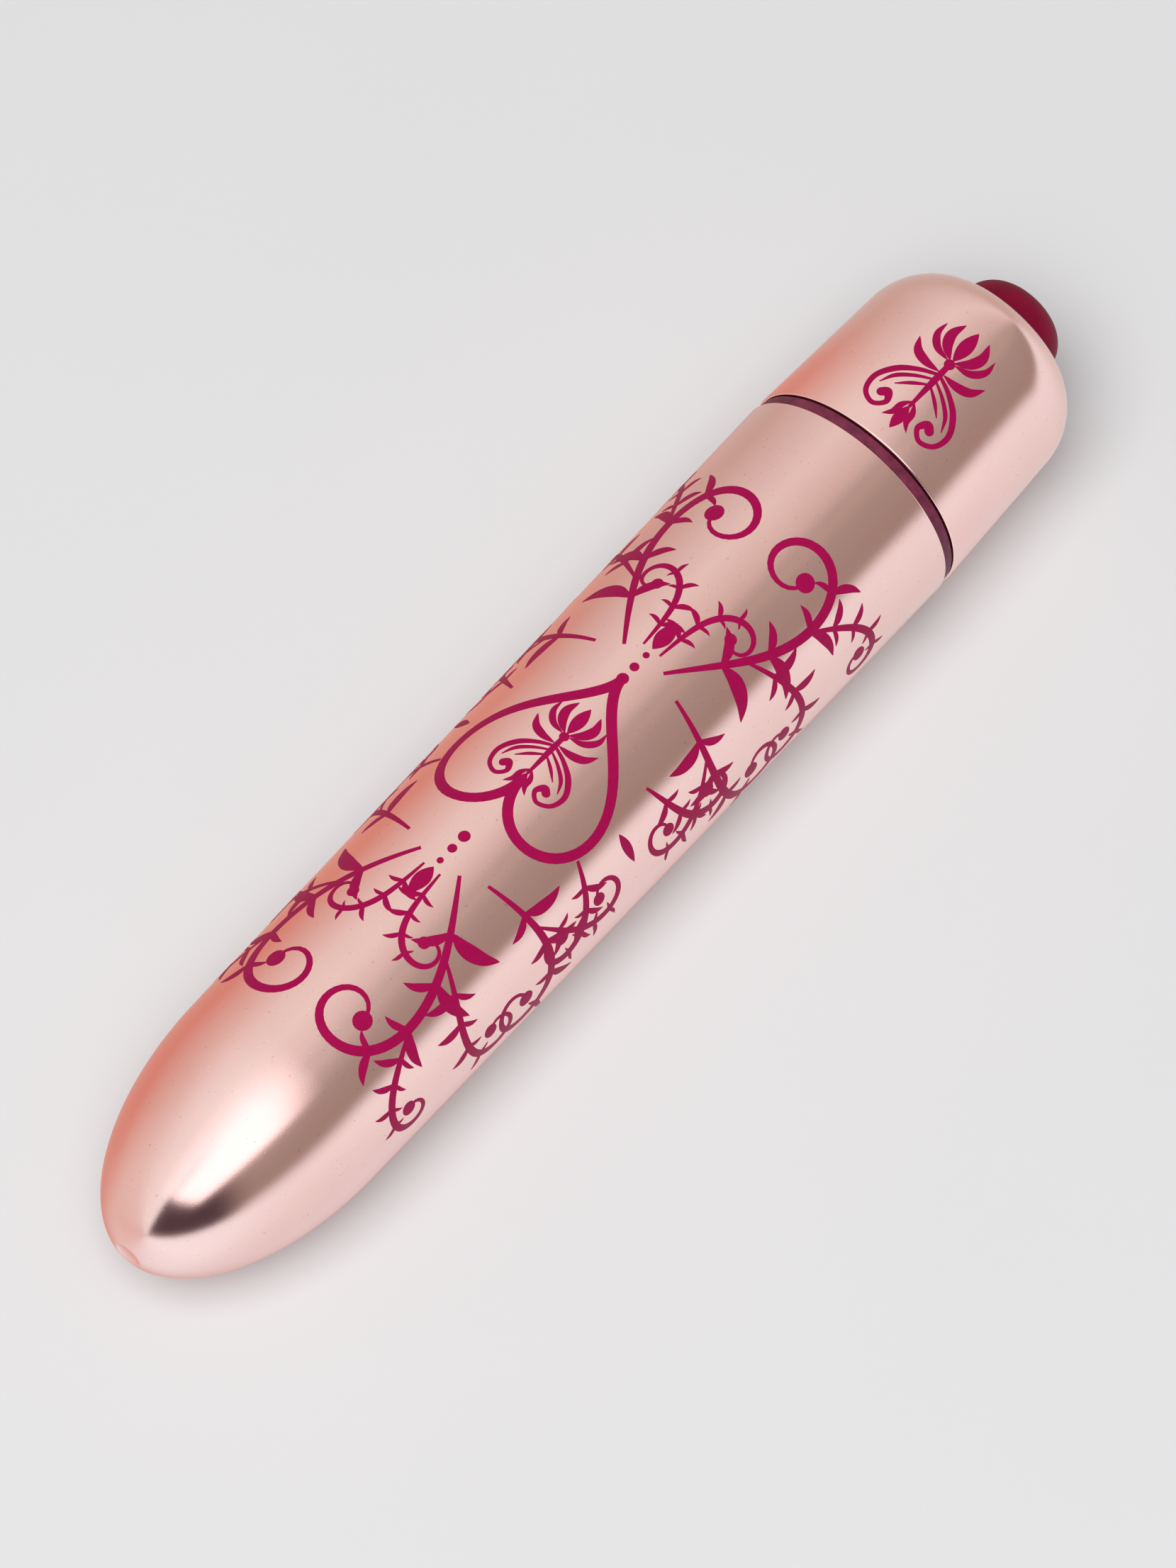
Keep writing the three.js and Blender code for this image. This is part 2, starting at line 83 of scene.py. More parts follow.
# ---------- printed ornament: millimetres on the unrolled shell ----------
PRINT_RADIUS = 11.0          # that the arcs are measured on
PRINT_SKEW = 0.029           # the print's twist, arc per station
PRINT_CENTRE = 43.3
PRINT_TOP = 0.02
PRINT_DEPTH = 0.03
PRINT_STEP = 0.6             # widest flat strip round the shell
SMALLEST = 1e-5              # area or distance that still counts
EMBLEM_FOOT = -35.0
NOSE_SPRAY_FOOT = -54.0
CAP_SPRAY_FOOT = -28.3
HEART_MIDDLE = -41.3
HEART_LENGTH = 17.0
HEART_HALF_WIDTH = 8.3
HEART_LINE = 0.95
HEART_SPAN = 29              # length of the heart's curve before scaling
CAP_EMBLEM_SHIFT = 2.1

# ---------- camera ----------
CAMERA_ELEVATION = math.radians(61.893)
CAMERA_YAW = math.radians(50.028)      # of the long axis from the camera's right
CAMERA_DISTANCE = 620.8                # along the view axis to the seam's centre
SEAM_OFFSET = (22.58, 24.94)           # of the seam's centre right of and above the view axis
LENS_MM = 162.75
SENSOR_MM = 36.0


def to_world(point):
    """A point (station, y, height above the axis) in millimetres, as metres in the frame."""
    return Vector((SEAM_X + point[0], point[1], AXIS_Z + point[2])) * MM


def make_camera():
    yaw, elevation = CAMERA_YAW, CAMERA_ELEVATION
    right = Vector((math.cos(yaw), -math.sin(yaw), 0))
    forward = Vector((
        math.cos(elevation) * math.sin(yaw),
        math.cos(elevation) * math.cos(yaw),
        -math.sin(elevation),
    ))
    up = right.cross(forward)
    seam = Vector((SEAM_X, 0, AXIS_Z))
    place = seam - CAMERA_DISTANCE * forward - SEAM_OFFSET[0] * right - SEAM_OFFSET[1] * up
    data = bpy.data.cameras.new("camera")
    data.lens = LENS_MM
    data.sensor_width = SENSOR_MM
    data.clip_start = 0.01
    data.clip_end = 20
    camera = bpy.data.objects.new("camera", data)
    turn = Matrix((right, up, -forward)).transposed().to_4x4()
    camera.matrix_world = Matrix.Translation(place * MM) @ turn
    bpy.context.collection.objects.link(camera)
    bpy.context.scene.camera = camera


# ---------- node helpers ----------
def new_material(name):
    made = bpy.data.materials.new(name)
    made.use_nodes = True
    tree = made.node_tree
    shader = next(node for node in tree.nodes if node.type == "BSDF_PRINCIPLED")
    return made, tree, shader


def add_node(tree, kind, **values):
    node = tree.nodes.new(kind)
    for name, value in values.items():
        setattr(node, name, value)
    return node


def noise_texture(tree, scale, detail=3.0, roughness=0.5):
    """Noise in object space. scale is in features per metre."""
    place = add_node(tree, "ShaderNodeTexCoord")
    texture = add_node(tree, "ShaderNodeTexNoise")
    texture.inputs["Scale"].default_value = scale
    texture.inputs["Detail"].default_value = detail
    texture.inputs["Roughness"].default_value = roughness
    tree.links.new(place.outputs["Object"], texture.inputs["Vector"])
    return texture.outputs["Fac"]


def ramp(tree, factor, stops):
    node = add_node(tree, "ShaderNodeValToRGB")
    elements = node.color_ramp.elements
    while len(elements) < len(stops):
        elements.new(0.5)
    for element, (place, color) in zip(elements, stops):
        element.position = place
        element.color = (*color, 1.0)
    tree.links.new(factor, node.inputs["Fac"])
    return node.outputs["Color"]


def remap(tree, value, low, high):
    """Takes 0..1 to low..high."""
    node = add_node(tree, "ShaderNodeMapRange")
    node.inputs["To Min"].default_value = low
    node.inputs["To Max"].default_value = high
    tree.links.new(value, node.inputs["Value"])
    return node.outputs["Result"]


def step_between(tree, value, low, high):
    """0 below low, 1 above high, smooth between. low may be the larger."""
    node = add_node(tree, "ShaderNodeMapRange", interpolation_type="SMOOTHSTEP")
    node.inputs["From Min"].default_value = low
    node.inputs["From Max"].default_value = high
    tree.links.new(value, node.inputs["Value"])
    return node.outputs["Result"]


def times(tree, first, second):
    node = add_node(tree, "ShaderNodeMath", operation="MULTIPLY")
    tree.links.new(first, node.inputs[0])
    tree.links.new(second, node.inputs[1])
    return node.outputs["Value"]


def mix_colors(tree, factor, first, second):
    """first where factor is 0. Each is a socket or a plain colour."""
    node = add_node(tree, "ShaderNodeMix", data_type="RGBA")
    tree.links.new(factor, node.inputs[0])
    for socket, color in ((node.inputs[6], first), (node.inputs[7], second)):
        if isinstance(color, tuple):
            socket.default_value = (*color, 1)
        else:
            tree.links.new(color, socket)
    return node.outputs[2]


def bump(tree, shader, height, distance, strength=1.0):
    node = add_node(tree, "ShaderNodeBump")
    node.inputs["Distance"].default_value = distance
    node.inputs["Strength"].default_value = strength
    tree.links.new(height, node.inputs["Height"])
    tree.links.new(node.outputs["Normal"], shader.inputs["Normal"])


def mottled(name, base, spread, scale, roughness, metallic=0.0, bump_mm=0.0, bump_scale=None, **sockets):
    """A solid material whose colour and roughness wander a little, with a fine bump."""
    made, tree, shader = new_material(name)
    shader.inputs["Metallic"].default_value = metallic
    for socket, value in sockets.items():
        shader.inputs[socket.replace("_", " ")].default_value = value
    pattern = noise_texture(tree, scale)
    darker = tuple(channel * (1 - spread) for channel in base)
    lighter = tuple(min(1, channel * (1 + spread)) for channel in base)
    tree.links.new(ramp(tree, pattern, [(0.3, darker), (0.7, lighter)]), shader.inputs["Base Color"])
    tree.links.new(remap(tree, pattern, roughness - 0.05, roughness + 0.05), shader.inputs["Roughness"])
    if bump_mm:
        bump(tree, shader, noise_texture(tree, bump_scale or scale * 4), bump_mm * MM)
    return made


# ---------- mesh helpers ----------
def link_mesh(name, vertices, faces, smooth_angle=35):
    mesh = bpy.data.meshes.new(name)
    mesh.from_pydata(vertices, [], faces)
    mesh.validate()
    mesh.polygons.foreach_set("use_smooth", [True] * len(mesh.polygons))
    mesh.set_sharp_from_angle(angle=math.radians(smooth_angle))
    made = bpy.data.objects.new(name, mesh)
    bpy.context.collection.objects.link(made)
    return made


def turned(name, outline, sides=192, smooth_angle=35, swell=None):
    """A solid of revolution about the long axis from (station, radius) points.

    The outline is closed on itself or on the axis. swell gives a point's own radius from its station,
    radius and angle.
    """
    closed = outline[0] == outline[-1]
    ring_points = outline[:-1] if closed else outline
    vertices, rings = [], []
    for station, radius in ring_points:
        if radius < 1e-6:
            rings.append([len(vertices)] * sides)
            vertices.append(to_world((station, 0, 0)))
            continue
        rings.append(list(range(len(vertices), len(vertices) + sides)))
        for k in range(sides):
            angle = 2 * math.pi * k / sides
            reach = swell(station, radius, angle) if swell else radius
            vertices.append(to_world((station, reach * math.cos(angle), reach * math.sin(angle))))
    faces = []
    pairs = list(zip(rings, rings[1:] + (rings[:1] if closed else [])))
    for first, second in pairs:
        for k in range(sides):
            nxt = (k + 1) % sides
            corners = [first[k], second[k], second[nxt], first[nxt]]
            unique = list(dict.fromkeys(corners))
            if len(unique) > 2:
                faces.append(unique)
    made = link_mesh(name, vertices, faces, smooth_angle)
    outward(made)
    return made


def added(made, *others):
    """Joins other objects' meshes into one and drops the other objects."""
    shape = bmesh.new()
    for part in (made, *others):
        shape.from_mesh(part.data)
    shape.to_mesh(made.data)
    shape.free()
    for part in others:
        bpy.data.objects.remove(part)
    return made


def slab(name, low, high, bevel=0.1):
    """A block with rounded edges between two corners (station, y, height) in millimetres."""
    shape = bmesh.new()
    bmesh.ops.create_cube(shape, size=1)
    for vertex in shape.verts:
        middle = [(a + b) / 2 + side * (b - a) for a, b, side in zip(low, high, vertex.co)]
        vertex.co = to_world(middle)
    bmesh.ops.bevel(
        shape, geom=shape.edges[:], offset=bevel * MM, segments=3, affect="EDGES", profile=0.5)
    mesh = bpy.data.meshes.new(name)
    shape.to_mesh(mesh)
    shape.free()
    mesh.polygons.foreach_set("use_smooth", [True] * len(mesh.polygons))
    made = bpy.data.objects.new(name, mesh)
    bpy.context.collection.objects.link(made)
    return made


def outward(made):
    """Turns every face outwards."""
    shape = bmesh.new()
    shape.from_mesh(made.data)
    bmesh.ops.recalc_face_normals(shape, faces=shape.faces)
    shape.to_mesh(made.data)
    shape.free()


def arc(centre, radii, start, end, steps):
    """(station, radius) points on an ellipse arc. Angles in degrees: 0 is away from the axis, 90 is +X."""
    points = []
    for i in range(steps + 1):
        angle = math.radians(start + (end - start) * i / steps)
        points.append((centre[0] + radii[0] * math.sin(angle), centre[1] + radii[1] * math.cos(angle)))
    return points


def finish_piece(piece, body, material, replaces=()):
    piece.data.materials.clear()
    piece.data.materials.append(material)
    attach(piece, body)
    if replaces:
        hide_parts(*replaces)
    return piece


# ---------- shells ----------
def body_skin():
    nose = (SHOULDER - NOSE_TIP) / math.sqrt(1 - (NOSE_FLAT / SHOULDER_RADIUS) ** 2)
    last = math.degrees(math.acos(NOSE_FLAT / SHOULDER_RADIUS))
    outer = arc((SHOULDER, 0), (nose, SHOULDER_RADIUS), -last, 0, 48)
    inner_radius = SHOULDER_RADIUS - BODY_WALL
    inner = arc((SHOULDER, 0), (nose - BODY_WALL, inner_radius), 0, -90, 16)
    gate = [
        (NOSE_TIP + 0.13, 0), (NOSE_TIP + 0.12, NOSE_FLAT - 0.5), (NOSE_TIP + 0.08, NOSE_FLAT - 0.35),
        (NOSE_TIP + 0.02, NOSE_FLAT - 0.22), (NOSE_TIP, NOSE_FLAT - 0.12),
    ]
    rim_round = arc((-0.18, RIM_RADIUS - 0.18), (0.18, 0.18), 0, 90, 5)
    bore = RIM_RADIUS - BODY_WALL
    return turned("body_skin", gate + outer + rim_round + [(0, bore + 0.15), (-0.15, bore)] + inner)


def cap_skin():
    lip = arc((CAP_RIM + 0.16, CAP_RIM_RADIUS - 0.16), (0.16, 0.16), -90, 0, 5)
    centre = (CAP_SHOULDER, CAP_FLAT_RADIUS)
    along, across = CAP_END - CAP_SHOULDER, CAP_SHOULDER_RADIUS - CAP_FLAT_RADIUS
    dome = arc(centre, (along, across), 0, 90, 24)
    hole = arc((CAP_END - 0.12, BUTTON_HOLE + 0.12), (0.12, -0.12), 90, 0, 3)
    hole.append((CAP_END - CAP_WALL, BUTTON_HOLE))
    inner = arc(centre, (along - CAP_WALL, across - CAP_WALL), 90, 0, 12)
    start = (CAP_RIM, CAP_RIM_RADIUS - CAP_WALL)
    return turned("cap_skin", [start] + lip + dome + hole + inner + [start])


def button_skin():
    low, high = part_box("push_button")
    bottom = low[0] / MM - SEAM_X
    flange = (high[1] - low[1]) / 2 / MM
    centre = (BUTTON_TOP - BUTTON_FILLET, BUTTON_RADIUS - BUTTON_FILLET)
    crown = arc(centre, (BUTTON_FILLET, BUTTON_FILLET), 0, 84, 18)
    top = [(BUTTON_TOP - 0.012, 1.2), (BUTTON_TOP, 0)]
    return turned("button_skin", [
        (bottom, 0), (bottom, flange), (bottom + 1, flange), (bottom + 1, BUTTON_RADIUS),
    ] + crown + top)


def ring_skin():
    low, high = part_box("seal_ring")
    start, end = low[0] / MM - SEAM_X, high[0] / MM - SEAM_X
    outer = (high[2] - low[2]) / 2 / MM
    inner = outer - 2.5
    crown = arc((start + 0.1, outer - 0.1), (0.1, 0.1), -90, 0, 4)
    crown += arc((end - 0.2, outer - 0.1), (0.1, 0.1), 0, 90, 4)
    groove = [(end - 0.1, outer - 0.35), (end, outer - 0.35)]
    return turned("ring_skin", [(start, inner)] + crown + groove + [(end, inner), (start, inner)])


# ---------- what shows when the cap is off ----------
def span(node):
    """A CAD node's start and end stations and its outer radius, in millimetres."""
    low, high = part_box(node)
    return low[0] / MM - SEAM_X, high[0] / MM - SEAM_X, (high[1] - low[1]) / 2 / MM


def rows(start, end, radius, step=0.1):
    count = math.ceil(abs(end - start) / step)
    return [(start + (end - start) * i / count, radius) for i in range(count + 1)]


def smooth_step(value, low, high):
    share = min(1, max(0, (value - low) / (high - low)))
    return share * share * (3 - 2 * share)


def thread_height(station, angle, first_station, lag_turns, turns):
    """0 to 1 on a two-start right-hand thread's rounded ridge."""
    height = 0
    for start in (0.0, 0.5):
        turn = (angle / (2 * math.pi) - 0.25 - start + lag_turns) % 1
        if turn > turns:
            continue
        offset = abs(station - first_station - THREAD_LEAD * turn)
        ends = smooth_step(turn, 0, 0.07) * smooth_step(turns - turn, 0, 0.07)
        height = max(height, ends * (1 - smooth_step(offset, 0.2, 0.56)))
    return height


def collar_skin():
    start, end, glued = span("thread_collar")
    lead_in = 0.4

    def swell(station, radius, angle):
        if radius != NECK_ROOT:
            return radius
        rise = thread_height(station, angle, THREAD_START, 0, THREAD_TURNS)
        return radius + (NECK_CREST - NECK_ROOT) * rise

    outline = [(start, NECK_BORE), (start, glued - 0.3), (start + 0.3, glued), (-0.05, glued)]
    outline += rows(-0.05, end - lead_in, NECK_ROOT)
    outline += [(end - 0.1, NECK_ROOT - 0.28), (end, NECK_ROOT - lead_in), (end, NECK_BORE + 0.15)]
    outline += [(end - 0.15, NECK_BORE), (start, NECK_BORE)]
    return turned("collar_skin", outline, swell=swell)


def liner_skin():
    start, end, mouth = span("cap_liner")
    lag_turns = 0.15
    first = THREAD_START + THREAD_LEAD / 4 - lag_turns * THREAD_LEAD

    def swell(station, radius, angle):
        if radius != LINER_ROOT:
            return radius
        rise = thread_height(station, angle, first, lag_turns, THREAD_TURNS - 0.01)
        return radius - (LINER_ROOT - LINER_CREST) * rise

    shelf, board = 10.3, 11.6
    shelf_radius, board_radius, end_radius = 7.9, 8.75, 9.5
    outline = [(start, mouth - 0.15), (start + 0.15, mouth), (end, end_radius), (end, board_radius)]
    outline += [(board, board_radius), (board, shelf_radius), (shelf, shelf_radius)]
    outline += rows(shelf, start + 0.15, LINER_ROOT) + [(start, LINER_ROOT + 0.15), (start, mouth - 0.15)]
    return turned("liner_skin", outline, swell=swell)


def battery_tube_skin():
    start, end, _ = span("battery_tube")
    hole, bore, outer = 1.5, 5.65, 6.15
    floor = start + 0.9
    sleeve = turned("battery_tube_skin", [
        (start, hole), (start, outer - 0.2), (start + 0.2, outer), (end - 0.12, outer), (end, outer - 0.12),
        (end, bore + 0.3), (end - 0.3, bore), (floor, bore), (floor, hole), (start, hole),
    ])
    fins = []
    for k in range(3):
        fin = slab("fin", (start, -0.6, outer - 0.2), (start + 25, 0.6, 9.3), 0.2)
        turn = Matrix.Rotation(math.radians(120 * k - 30), 4, "X")
        axis = Matrix.Translation((0, 0, AXIS_Z * MM))
        fin.data.transform(axis @ turn @ axis.inverted())
        fins.append(fin)
    return added(sleeve, *fins)


def return_contact_skin():
    start, end, outer = span("return_contact")
    bore = NECK_BORE + 0.07
    thickness = 0.4
    ring = turned("return_contact_skin", [
        (end - thickness, bore), (end - thickness, outer), (end - 0.08, outer), (end, outer - 0.08),
        (end, bore + 0.08), (end - 0.08, bore), (end - thickness, bore),
    ])
    strip = slab("strip", (start, -1.2, 6.26), (end - 0.02, 1.2, 6.58), 0.08)
    tab = slab("tab", (end - 0.38, -1.2, 6.27), (end - 0.02, 1.2, 7.4), 0.08)
    return added(ring, strip, tab)


def cell_skin():
    start, end, radius = span("cell_can")
    nose = arc((start + 0.4, radius - 0.4), (0.4, 0.4), -90, 0, 6)
    tail = arc((end - 0.4, radius - 0.4), (0.4, 0.4), 0, 90, 6)
    ring = [(end, 4.1), (end - 0.12, 3.95), (end - 0.12, 3.5), (end, 3.35), (end, 0)]
    return turned("cell_skin", [(start, 0)] + nose + [
        (-33.4, radius), (-33.1, radius - 0.03), (-32.8, radius - 0.03), (-32.5, radius),
    ] + tail + ring)


def jacket_skin():
    """Shrunk film: an overlap down its length and soft ripples at both ends."""
    start, end, outer = span("cell_jacket")
    bore = 5.06

    def swell(station, radius, angle):
        if radius == bore:
            return radius
        overlap = 0.04 * (smooth_step(angle, 2.0, 2.03) - smooth_step(angle, 2.45, 2.48))
        near_end = 1 - smooth_step(min(station - start, end - station), 0, 1.6)
        ripple = 0.035 * near_end * (1 + math.sin(17 * angle + 2.1 * math.sin(5 * angle)))
        return radius - 0.04 + overlap - ripple

    outline = [(start, bore)] + rows(start, start + 1.8, outer, 0.2) + rows(end - 1.8, end, outer, 0.2)
    return turned("jacket_skin", outline + [(end, bore), (start, bore)], swell=swell)


def nub_skin():
    start, end, radius = span("cell_positive_nub")
    crown = arc((start + 0.35, radius - 0.35), (0.35, 0.35), -90, 0, 6)
    tip = [(start + 0.05, 0), (start + 0.02, 0.9)]
    return turned("nub_skin", tip + crown + [(end, radius), (end, 0)], 96)


def spring_skin():
    """A conical spring of round wire."""
    start, end, outer = span("cap_spring")
    wire, sides, turns, per_turn = 0.25, 14, 3.2, 60
    small, large = 2.2, outer - wire
    path = []
    for i in range(round(turns * per_turn) + 1):
        share = i / (turns * per_turn)
        angle = 2 * math.pi * turns * share
        radius = small + (large - small) * share
        station = start + wire + (end - start - 2 * wire) * share
        path.append(Vector((station, -radius * math.cos(angle), radius * math.sin(angle))))
    vertices, faces = [], []
    for i, point in enumerate(path):
        ahead = (path[min(i + 1, len(path) - 1)] - path[max(i - 1, 0)]).normalized()
        out = Vector((0, point.y, point.z)).normalized()
        across = ahead.cross(out).normalized()
        out = across.cross(ahead)
        for k in range(sides):
            angle = 2 * math.pi * k / sides
            vertices.append(to_world(point + wire * (out * math.cos(angle) + across * math.sin(angle))))
    for i in range(len(path) - 1):
        for k in range(sides):
            nxt = (k + 1) % sides
            faces.append((i * sides + k, i * sides + nxt, (i + 1) * sides + nxt, (i + 1) * sides + k))
    faces.append(tuple(range(sides)))
    faces.append(tuple(range(len(vertices) - sides, len(vertices))))
    made = link_mesh("spring_skin", vertices, faces, 50)
    outward(made)
    return made


# ---------- printed ornament ----------
NEVILLE_KNOTS = ((0, 1), (0, 2), (1, 2))    # which knots each round of blending spans


def spline(points, per=7):
    """Centripetal Catmull-Rom through the points, whatever else each carries."""
    first = tuple(2 * a - b for a, b in zip(points[0], points[1]))
    last = tuple(2 * a - b for a, b in zip(points[-1], points[-2]))
    padded = [first, *points, last]
    made = []
    for i in range(1, len(padded) - 2):
        around = padded[i - 1:i + 3]
        knots = [0.0]
        for a, b in zip(around, around[1:]):
            knots.append(knots[-1] + max(math.dist(a[:2], b[:2]), 1e-6) ** 0.5)
        for k in range(per):
            s = knots[1] + (knots[2] - knots[1]) * k / per
            level = around
            for reach in (1, 2, 3):
                low, high = NEVILLE_KNOTS[reach - 1]
                shares = [
                    (s - knots[j + low]) / (knots[j + high] - knots[j + low]) for j in range(4 - reach)]
                level = [blend_points(a, b, share) for a, b, share in zip(level, level[1:], shares)]
            made.append(level[0])
    made.append(tuple(points[-1]))
    return made


def blend_points(a, b, share):
    return tuple(x + (y - x) * share for x, y in zip(a, b))


def ribbon(spine):
    """Quads along a spine of (x, y, width)."""
    left, right = [], []
    for i, (x, y, width) in enumerate(spine):
        before, after = spine[max(0, i - 1)], spine[min(len(spine) - 1, i + 1)]
        dx, dy = after[0] - before[0], after[1] - before[1]
        reach = max(width, 0.02) / 2 / (math.hypot(dx, dy) or 1)
        left.append((x - dy * reach, y + dx * reach))
        right.append((x + dy * reach, y - dx * reach))
    return [[left[i], left[i + 1], right[i + 1], right[i]] for i in range(len(spine) - 1)]


def ball(x, y, radius, sides=16):
    turn = 2 * math.pi / sides
    return [[(x + radius * math.cos(turn * k), y + radius * math.sin(turn * k)) for k in range(sides)]]


def stroke(*points):
    """A line through (x, y, width) points, round at an end that has some width."""
    made = ribbon(spline(points))
    for x, y, width in (points[0], points[-1]):
        if width > 0.3:
            made += ball(x, y, width / 2)
    return made


def leaf(width, peak, *points):
    """A full leaf, pointed at both ends, widest at peak of its length."""
    spine = spline(points)
    along = [0.0]
    for a, b in zip(spine, spine[1:]):
        along.append(along[-1] + math.dist(a, b))
    shaped = []
    for (x, y), place in zip(spine, along):
        share = place / along[-1]
        rise = share / peak if share < peak else (1 - share) / (1 - peak)
        shaped.append((x, y, width * math.sin(math.pi / 2 * min(1, rise)) ** 0.85))
    return ribbon(shaped)


def vine(x, y, heading, length, curl, width, offshoots=0):
    """A stem that winds into a spiral ending in a ball, with leaves on both sides.

    Its bend grows with the square of the way along and adds up to curl. Offshoots leave on the outer side.
    """
    steps = 56
    spine = []
    turn = heading
    for i in range(steps + 1):
        share = i / steps
        spine.append((x, y, width * (0.35 + 0.65 * math.sin(math.pi * share))))
        turn += 3 * curl * share ** 2 / steps
        x += math.cos(turn) * length / steps
        y += math.sin(turn) * length / steps
    made = ribbon(spine) + ball(x, y, width * 0.95)
    outer = -math.copysign(1, curl)
    for share in (0.16, 0.30, 0.44, 0.58):
        place = round(share * steps)
        (ax, ay, _), (bx, by, _) = spine[place], spine[place + 1]
        ahead = math.atan2(by - ay, bx - ax)
        size = length * 0.17 * (1.15 - share)
        made += blade(ax, ay, ahead + outer * 0.75, size, outer)
        made += blade(ax, ay, ahead - outer * 0.65, size * 0.65, -outer)
    for k in range(offshoots):
        place = round((0.24 + 0.2 * k) * steps)
        (ax, ay, _), (bx, by, _) = spine[place], spine[place + 1]
        ahead = math.atan2(by - ay, bx - ax)
        made += vine(ax, ay, ahead + outer * 0.6, length * (0.62 - 0.12 * k), -curl * 0.9, width * 0.8)
    return made


def blade(x, y, heading, length, bend):
    """A leaf that curves to one side."""
    points = []
    for share in (0, 0.35, 0.7, 1):
        angle = heading + bend * 0.55 * share
        points.append((x + length * share * math.cos(angle), y + length * share * math.sin(angle)))
    return leaf(length * 0.27, 0.45, *points)


def spray():
    """Half of the scrollwork at one end. x runs out from the heart, y away from the centreline."""
    made = vine(0.0, 2.2, 0.62, 32, -6.6, 0.95, 2)
    made += vine(-1.0, 4.6, 1.75, 25, -6.2, 0.85, 1)
    made += vine(1.0, 0.9, 0.08, 14, 5.6, 0.6)
    return made


def heart():
    """Half of a plain heart outline, its point towards the cap."""
    steps = 48
    spine = []
    for i in range(steps + 1):
        t = math.pi * i / steps
        across = math.sin(t) ** 3
        along = 13 * math.cos(t) - 5 * math.cos(2 * t) - 2 * math.cos(3 * t) - math.cos(4 * t)
        station = HEART_MIDDLE - along * HEART_LENGTH / HEART_SPAN
        spine.append((station, HEART_HALF_WIDTH * across, HEART_LINE))
    return ribbon(spine)


def beads():
    """Three beads and a leaf on the centreline beyond each end of the heart."""
    made = []
    for start, step in ((-50.6, -1), (-31.4, 1)):
        for k in range(3):
            made += ball(start + step * (0.4 + 1.5 * k), 0, 0.55 - 0.12 * k)
        made += leaf(1.5, 0.45, *[(start + step * (4.2 + 1.1 * k), 0) for k in range(4)])
    return made


def sidework():
    """Half of the scrolls and the leaf beside the heart."""
    made = vine(-45.5, 8.6, 1.9, 15, 5.4, 0.8)
    made += vine(-36.5, 8.3, 1.25, 15, -5.4, 0.8)
    made += blade(-41, 9.6, 1.57, 3.4, 0.0)
    return made


def fleuron_half():
    """Half of the emblem: a bud between petals, a pair of leaves and a lyre of scrolls."""
    made = leaf(1.3, 0.5, (0.0, 0), (1.2, 0), (2.4, 0), (3.5, 0))
    made += leaf(1.0, 0.5, (3.6, 0.2), (2.6, 1.3), (1.5, 1.7), (0.1, 1.3))
    made += leaf(0.7, 0.5, (3.7, 0.3), (3.3, 1.8), (2.2, 2.7), (0.9, 2.7))
    made += ball(3.9, 0, 0.5)
    made += stroke((3.9, 0, 0.5), (6.0, 0, 0.6), (8.0, 0, 0.4), (9.2, 0, 0.3))
    made += leaf(0.85, 0.5, (5.0, 0.2), (5.0, 1.7), (4.5, 2.9), (3.3, 3.7))
    made += stroke(
        (5.3, 0.2, 0.3), (6.0, 1.7, 0.45), (7.1, 3.2, 0.6), (8.7, 4.1, 0.55), (10.3, 3.7, 0.45),
        (10.9, 2.5, 0.45), (10.1, 1.7, 0.5), (9.3, 2.2, 0.8), (9.6, 2.6, 0.85),
    )
    made += stroke((5.9, 0.2, 0.2), (6.7, 1.6, 0.35), (7.7, 2.8, 0.4), (8.9, 3.4, 0.1))
    made += stroke((6.6, 0.2, 0.2), (7.4, 1.3, 0.35), (8.3, 2.3, 0.1))
    made += leaf(1.0, 0.5, (9.1, 0), (10.0, 0), (10.9, 0), (11.8, 0))
    made += leaf(0.6, 0.5, (8.6, 0.1), (9.5, 0.6), (10.4, 0.7), (11.2, 1.3))
    return made


def moved(shapes, change):
    return [[change(x, y) for x, y in shape] for shape in shapes]


def mirrored(shapes):
    return shapes + moved(shapes, lambda x, y: (x, -y))


def body_ornament():
    shapes = heart() + beads() + sidework()
    shapes += moved(spray(), lambda x, y: (NOSE_SPRAY_FOOT - x, y))
    shapes += moved(spray(), lambda x, y: (CAP_SPRAY_FOOT + x, y))
    shapes += moved(fleuron_half(), lambda x, y: (EMBLEM_FOOT - x * 0.88, y * 0.93))
    return moved(mirrored(shapes), lambda x, y: (x, y + PRINT_SKEW * (x + PRINT_CENTRE)))


def cap_ornament():
    """The emblem again, a little larger, on the cap."""
    shapes = moved(fleuron_half(), lambda x, y: (15.4 - x * 1.07, y * 1.05))
    return moved(mirrored(shapes), lambda x, y: (x, y + CAP_EMBLEM_SHIFT))


